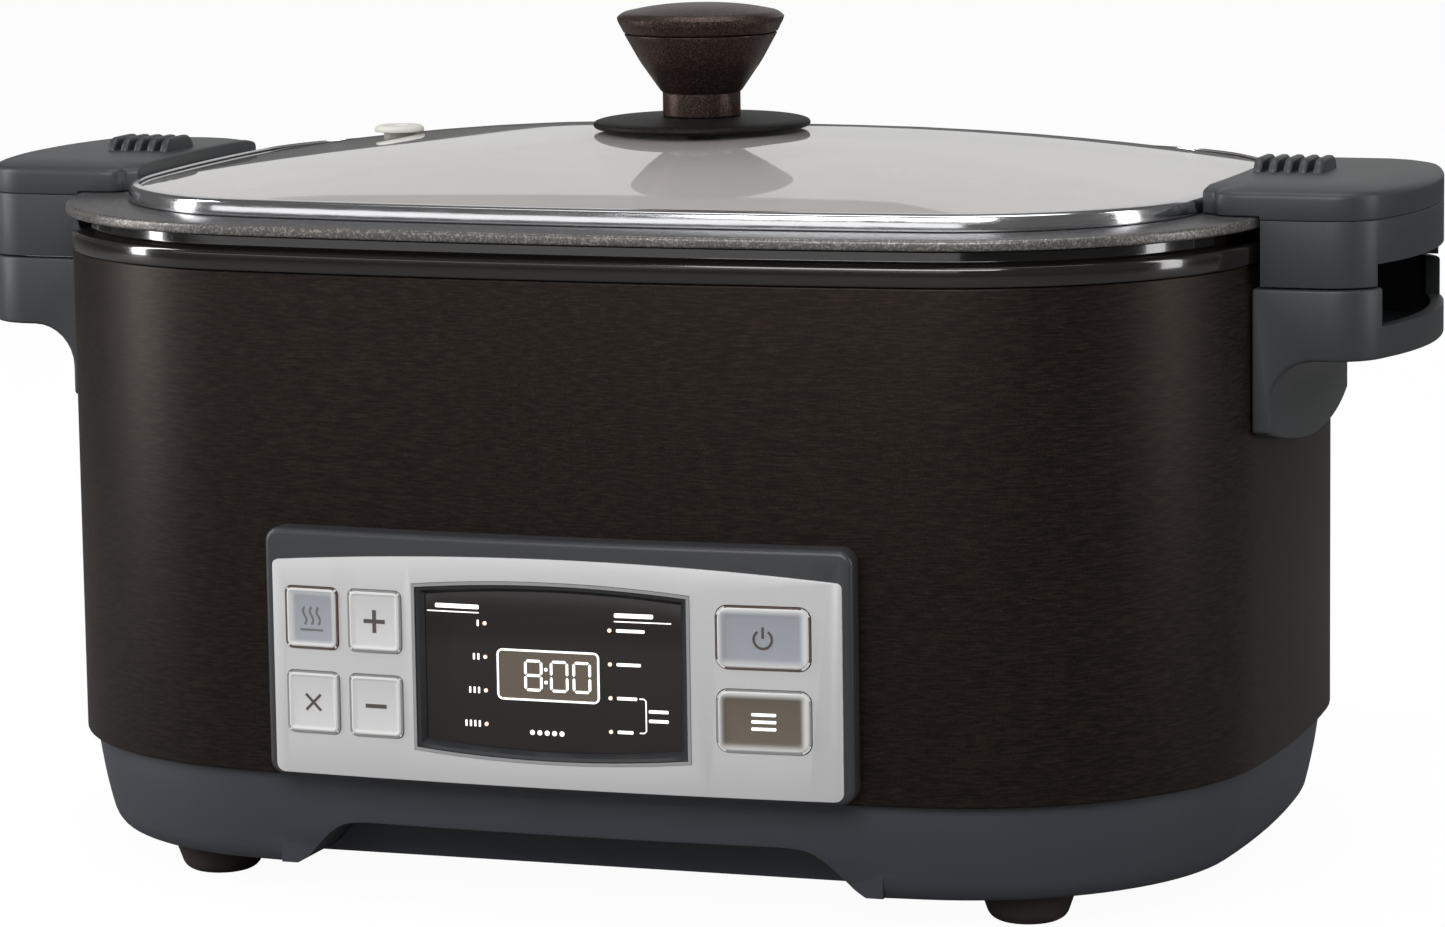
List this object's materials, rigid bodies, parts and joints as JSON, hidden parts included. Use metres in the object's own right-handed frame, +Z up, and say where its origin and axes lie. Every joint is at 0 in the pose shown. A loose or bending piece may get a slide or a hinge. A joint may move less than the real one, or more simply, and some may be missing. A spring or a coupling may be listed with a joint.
{
  "type": "slow cooker",
  "caption": "Electric slow cooker: tall rounded housing with front control panel and end handles, lift-out pot with ribbed handles, domed glass lid with steel rim and flared knob",
  "frame": {"origin": "centre of the footprint, on the plane that the feet stand on", "axes": "+X to the user's right along the long side, -Y towards the user and the control panel, +Z up"},
  "size_m": [0.463, 0.285, 0.2624],
  "materials": {
    "shell_paint": "dark brown-black metallic paint, satin",
    "collar_gloss": "gloss black-brown",
    "bare_steel": "plain zinc-plated or stainless steel",
    "insulation_wool": "glass wool blanket",
    "cast_aluminium": "cast and turned",
    "ceramic_body": "glazed",
    "base_plastic": "fine satin, blue-grey",
    "foot_rubber": "matt dark brown-black",
    "circuit_board": "solder mask",
    "component_plastic": "matt black",
    "wire_sleeve": "silicone sleeve",
    "inlet_plastic": "matt black",
    "panel_plastic": "satin charcoal",
    "fascia_silver": "fine silver paint, satin",
    "display_lens": "smoked acrylic",
    "led_lens": "clear tinted",
    "button_light": "satin light grey",
    "button_blue_grey": "satin blue-grey",
    "button_taupe": "satin brown-grey",
    "handle_plastic": "fine matt charcoal",
    "pot_coating": "speckled non-stick coating",
    "lid_glass": "clear tempered",
    "rim_steel": "polished stainless steel",
    "knob_bronze": "dark brown metallic with fine speckle",
    "knob_skirt_black": "speckled black-brown",
    "washer_silicone": "translucent silicone"
  },
  "bodies": {
    "housing": {"outer_shell": "shell_paint", "top_collar": "collar_gloss", "heating_well": "bare_steel", "well_insulation": "insulation_wool", "heating_plate": "cast_aluminium", "heating_element": "bare_steel", "sensor_guide": "bare_steel", "sensor_spring": "bare_steel", "heat_shield": "bare_steel", "well_posts": "bare_steel", "thermal_fuse": "ceramic_body", "base_tray": "base_plastic", "foot_front_left": "foot_rubber", "foot_front_right": "foot_rubber", "foot_rear_left": "foot_rubber", "foot_rear_right": "foot_rubber", "base_screws": "bare_steel", "power_board": "circuit_board", "power_components": "component_plastic", "wiring_harness": "wire_sleeve", "mains_inlet": "inlet_plastic", "inlet_pins": "bare_steel", "panel_frame": "panel_plastic", "panel_fascia": "fascia_silver", "display_bezel": "panel_plastic", "display_window": "display_lens", "display_module": "component_plastic", "led_indicators": "led_lens", "control_board": "circuit_board", "button_switches": "component_plastic", "panel_screws": "bare_steel", "housing_handle_left": "handle_plastic", "housing_handle_right": "handle_plastic", "housing_handle_screws": "bare_steel"},
    "pot": {"cooking_pot": "pot_coating", "pot_handle_body_left": "handle_plastic", "pot_handle_body_right": "handle_plastic", "pot_handle_cover_left": "handle_plastic", "pot_handle_cover_right": "handle_plastic", "pot_handle_brackets": "bare_steel", "pot_handle_screws": "bare_steel"},
    "lid": {"lid_glass": "lid_glass", "lid_rim": "rim_steel", "steam_vent": "rim_steel", "knob_skirt": "knob_skirt_black", "knob_body": "knob_bronze", "knob_cap": "knob_bronze", "knob_screw": "bare_steel", "knob_washer": "washer_silicone"},
    "sensor": {"sensor_plunger": "cast_aluminium"},
    "button_keep_warm": {"button_keep_warm": "button_blue_grey"},
    "button_plus": {"button_plus": "button_light"},
    "button_cancel": {"button_cancel": "button_light"},
    "button_minus": {"button_minus": "button_light"},
    "button_power": {"button_power": "button_blue_grey"},
    "button_menu": {"button_menu": "button_taupe"}
  },
  "joints": [
    {"name": "pot_lift", "type": "slide", "parent": "housing", "child": "pot", "axis": [0, 0, 1], "range_m": [0, 0.14]},
    {"name": "lid_lift", "type": "slide", "parent": "pot", "child": "lid", "axis": [0, 0, 1], "range_m": [0, 0.12]},
    {"name": "sensor_press", "type": "slide", "parent": "housing", "child": "sensor", "axis": [0, 0, 1], "range_m": [-0.003, 0], "stiffness_N_per_m": 800, "springref_m": 0.001, "deforming": ["sensor_spring"]},
    {"name": "button_keep_warm_press", "type": "slide", "parent": "housing", "child": "button_keep_warm", "axis": [0, 1, 0], "range_m": [0, 0.001], "stiffness_N_per_m": 1500, "springref_m": -0.0002},
    {"name": "button_plus_press", "type": "slide", "parent": "housing", "child": "button_plus", "axis": [0, 1, 0], "range_m": [0, 0.001], "stiffness_N_per_m": 1500, "springref_m": -0.0002},
    {"name": "button_cancel_press", "type": "slide", "parent": "housing", "child": "button_cancel", "axis": [0, 1, 0], "range_m": [0, 0.001], "stiffness_N_per_m": 1500, "springref_m": -0.0002},
    {"name": "button_minus_press", "type": "slide", "parent": "housing", "child": "button_minus", "axis": [0, 1, 0], "range_m": [0, 0.001], "stiffness_N_per_m": 1500, "springref_m": -0.0002},
    {"name": "button_power_press", "type": "slide", "parent": "housing", "child": "button_power", "axis": [0, 1, 0], "range_m": [0, 0.001], "stiffness_N_per_m": 1500, "springref_m": -0.0002},
    {"name": "button_menu_press", "type": "slide", "parent": "housing", "child": "button_menu", "axis": [0, 1, 0], "range_m": [0, 0.001], "stiffness_N_per_m": 1500, "springref_m": -0.0002}
  ]
}
